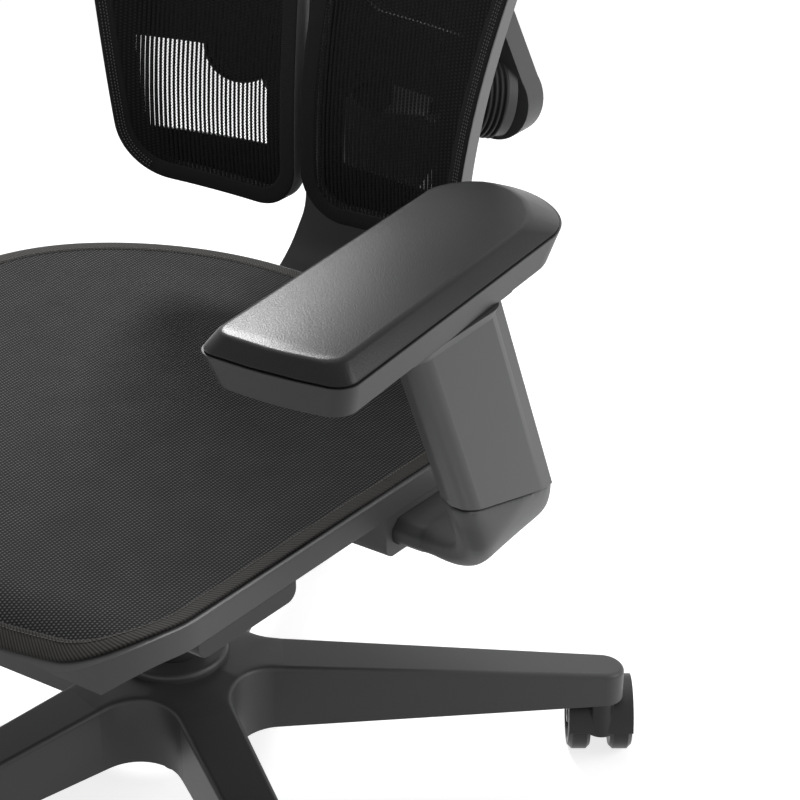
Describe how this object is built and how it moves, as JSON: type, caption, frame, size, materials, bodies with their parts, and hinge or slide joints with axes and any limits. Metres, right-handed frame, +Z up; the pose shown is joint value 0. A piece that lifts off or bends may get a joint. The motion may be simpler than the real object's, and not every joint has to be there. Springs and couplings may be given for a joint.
{
  "type": "swivel office chair",
  "caption": "Swivel office chair with a mesh seat, a split mesh back on rubber bushes, adjustable arms and a castored star base.",
  "frame": {"origin": "on the floor under the middle of the chair, 13 mm behind the column and 11 mm to its right", "axes": "+Z up, the sitter faces -Y, +X towards the sitter's left hand"},
  "size_m": [0.7626, 0.7306, 0.8495],
  "materials": {
    "shell_plastic": "fine moulded grain",
    "wheel_plastic": "smooth",
    "steel": "turned",
    "painted_steel": "black powder coat",
    "chrome": "polished",
    "rubber": "matt",
    "mesh": "woven open mesh",
    "pad_skin": "leather-grain soft skin"
  },
  "bodies": {
    "base": {"star_base": "shell_plastic", "lift_tube": "painted_steel", "thrust_bearing": "steel", "guide_bush": "shell_plastic"},
    "caster_fork_1": {"caster_hood_1": "shell_plastic", "caster_axle_1": "steel"},
    "caster_roller_1": {"caster_wheels_1": "wheel_plastic"},
    "caster_fork_2": {"caster_hood_2": "shell_plastic", "caster_axle_2": "steel"},
    "caster_roller_2": {"caster_wheels_2": "wheel_plastic"},
    "caster_fork_3": {"caster_hood_3": "shell_plastic", "caster_axle_3": "steel"},
    "caster_roller_3": {"caster_wheels_3": "wheel_plastic"},
    "caster_fork_4": {"caster_hood_4": "shell_plastic", "caster_axle_4": "steel"},
    "caster_roller_4": {"caster_wheels_4": "wheel_plastic"},
    "caster_fork_5": {"caster_hood_5": "shell_plastic", "caster_axle_5": "steel"},
    "caster_roller_5": {"caster_wheels_5": "wheel_plastic"},
    "lift_rod": {"lift_rod": "steel", "lift_clip": "steel"},
    "mechanism": {"lift_cylinder": "chrome", "mechanism_housing": "painted_steel", "mechanism_cover": "painted_steel", "seat_shaft": "steel", "tilt_shaft": "steel", "torsion_spring": "rubber"},
    "seat": {"seat_frame": "shell_plastic", "seat_mesh": "mesh", "seat_carrier": "shell_plastic", "arm_bracket_left": "shell_plastic", "arm_bracket_right": "shell_plastic", "arm_post_left": "steel", "arm_post_right": "steel", "bracket_screws_left": "steel", "bracket_screws_right": "steel"},
    "back": {"back_frame": "shell_plastic", "back_bush_left": "rubber", "back_bush_right": "rubber"},
    "back_half_left": {"back_rim_left": "shell_plastic", "back_mesh_left": "mesh", "back_carrier_left": "shell_plastic"},
    "back_half_right": {"back_rim_right": "shell_plastic", "back_mesh_right": "mesh", "back_carrier_right": "shell_plastic"},
    "arm_left": {"arm_sleeve_left": "shell_plastic"},
    "arm_button_left": {"arm_button_left": "shell_plastic"},
    "pad_turn_left": {"pad_slider_left": "shell_plastic"},
    "pad_left": {"pad_shell_left": "shell_plastic", "pad_top_left": "pad_skin"},
    "arm_right": {"arm_sleeve_right": "shell_plastic"},
    "arm_button_right": {"arm_button_right": "shell_plastic"},
    "pad_turn_right": {"pad_slider_right": "shell_plastic"},
    "pad_right": {"pad_shell_right": "shell_plastic", "pad_top_right": "pad_skin"},
    "height_lever": {"height_lever": "shell_plastic"},
    "tilt_lock_lever": {"tilt_lock_lever": "shell_plastic"},
    "tension_knob": {"tension_knob": "shell_plastic"}
  },
  "joints": [
    {"name": "caster_swivel_1", "type": "hinge", "parent": "base", "child": "caster_fork_1", "pos_m": [0.27626, 0.20187, 0.063], "axis": [0, 0, 1], "continuous": true},
    {"name": "caster_roll_1", "type": "hinge", "parent": "caster_fork_1", "child": "caster_roller_1", "pos_m": [0.26395, 0.22011, 0.029], "axis": [0.829, 0.5592, 0], "continuous": true},
    {"name": "caster_swivel_2", "type": "hinge", "parent": "base", "child": "caster_fork_2", "pos_m": [-0.11095, 0.30563, 0.063], "axis": [0, 0, 1], "continuous": true},
    {"name": "caster_roll_2", "type": "hinge", "parent": "caster_fork_2", "child": "caster_roller_2", "pos_m": [-0.12326, 0.32387, 0.029], "axis": [0.829, 0.5592, 0], "continuous": true},
    {"name": "caster_swivel_3", "type": "hinge", "parent": "base", "child": "caster_fork_3", "pos_m": [-0.32928, -0.03057, 0.063], "axis": [0, 0, 1], "continuous": true},
    {"name": "caster_roll_3", "type": "hinge", "parent": "caster_fork_3", "child": "caster_roller_3", "pos_m": [-0.34159, -0.01233, 0.029], "axis": [0.829, 0.5592, 0], "continuous": true},
    {"name": "caster_swivel_4", "type": "hinge", "parent": "base", "child": "caster_fork_4", "pos_m": [-0.07701, -0.3421, 0.063], "axis": [0, 0, 1], "continuous": true},
    {"name": "caster_roll_4", "type": "hinge", "parent": "caster_fork_4", "child": "caster_roller_4", "pos_m": [-0.08931, -0.32387, 0.029], "axis": [0.829, 0.5592, 0], "continuous": true},
    {"name": "caster_swivel_5", "type": "hinge", "parent": "base", "child": "caster_fork_5", "pos_m": [0.29724, -0.19845, 0.063], "axis": [0, 0, 1], "continuous": true},
    {"name": "caster_roll_5", "type": "hinge", "parent": "caster_fork_5", "child": "caster_roller_5", "pos_m": [0.28493, -0.18021, 0.029], "axis": [0.829, 0.5592, 0], "continuous": true},
    {"name": "chair_swivel", "type": "hinge", "parent": "base", "child": "lift_rod", "pos_m": [0.01125, -0.01272, 0.064], "axis": [0, 0, 1], "continuous": true},
    {"name": "seat_height", "type": "slide", "parent": "lift_rod", "child": "mechanism", "axis": [0, 0, 1], "range_m": [0, 0.1]},
    {"name": "recline", "type": "hinge", "parent": "mechanism", "child": "back", "pos_m": [0.01125, 0.04528, 0.306], "axis": [-1, 0, 0], "range_deg": [0, 20], "stiffness_Nm_per_rad": 90, "springref_deg": -14.32},
    {"name": "seat_tilt", "type": "hinge", "parent": "mechanism", "child": "seat", "pos_m": [0.01125, -0.10472, 0.316], "axis": [-1, 0, 0], "range_deg": [0, 7]},
    {"name": "back_flex_left", "type": "hinge", "parent": "back", "child": "back_half_left", "pos_m": [0.10488, 0.21771, 0.53449], "axis": [0, 0, 1], "range_deg": [-3, 5], "stiffness_Nm_per_rad": 40},
    {"name": "back_flex_right", "type": "hinge", "parent": "back", "child": "back_half_right", "pos_m": [-0.08238, 0.21771, 0.53449], "axis": [0, 0, -1], "range_deg": [-3, 5], "stiffness_Nm_per_rad": 40},
    {"name": "arm_height_left", "type": "slide", "parent": "seat", "child": "arm_left", "axis": [0, -0.4067, 0.9135], "range_m": [0, 0.07]},
    {"name": "arm_button_left", "type": "slide", "parent": "arm_left", "child": "arm_button_left", "axis": [1, 0, 0], "range_m": [0, 0.002], "stiffness_N_per_m": 800},
    {"name": "pad_turn_left", "type": "hinge", "parent": "arm_left", "child": "pad_turn_left", "pos_m": [0.34625, -0.15783, 0.555], "axis": [0, 0, 1], "range_deg": [-15, 15]},
    {"name": "pad_slide_left", "type": "slide", "parent": "pad_turn_left", "child": "pad_left", "axis": [-0.0698, 0.9976, 0], "range_m": [-0.025, 0.025]},
    {"name": "arm_height_right", "type": "slide", "parent": "seat", "child": "arm_right", "axis": [0, -0.4067, 0.9135], "range_m": [0, 0.07]},
    {"name": "arm_button_right", "type": "slide", "parent": "arm_right", "child": "arm_button_right", "axis": [-1, 0, 0], "range_m": [0, 0.002], "stiffness_N_per_m": 800},
    {"name": "pad_turn_right", "type": "hinge", "parent": "arm_right", "child": "pad_turn_right", "pos_m": [-0.32375, -0.15783, 0.555], "axis": [0, 0, 1], "range_deg": [-15, 15]},
    {"name": "pad_slide_right", "type": "slide", "parent": "pad_turn_right", "child": "pad_right", "axis": [0.0698, 0.9976, 0], "range_m": [-0.025, 0.025]},
    {"name": "height_lever", "type": "hinge", "parent": "mechanism", "child": "height_lever", "pos_m": [-0.05675, -0.07072, 0.298], "axis": [-1, 0, 0], "range_deg": [0, 15], "stiffness_Nm_per_rad": 0.6, "springref_deg": -11.46},
    {"name": "tilt_lock_lever", "type": "hinge", "parent": "mechanism", "child": "tilt_lock_lever", "pos_m": [-0.05675, -0.03072, 0.298], "axis": [-1, 0, 0], "range_deg": [0, 15], "stiffness_Nm_per_rad": 0.6, "springref_deg": -11.46},
    {"name": "tension_knob", "type": "hinge", "parent": "mechanism", "child": "tension_knob", "pos_m": [0.01125, -0.08872, 0.284], "axis": [0, 0, 1], "continuous": true}
  ],
  "couplings": [
    {"joint": "seat_tilt", "follows": "recline", "ratio": 0.35}
  ]
}
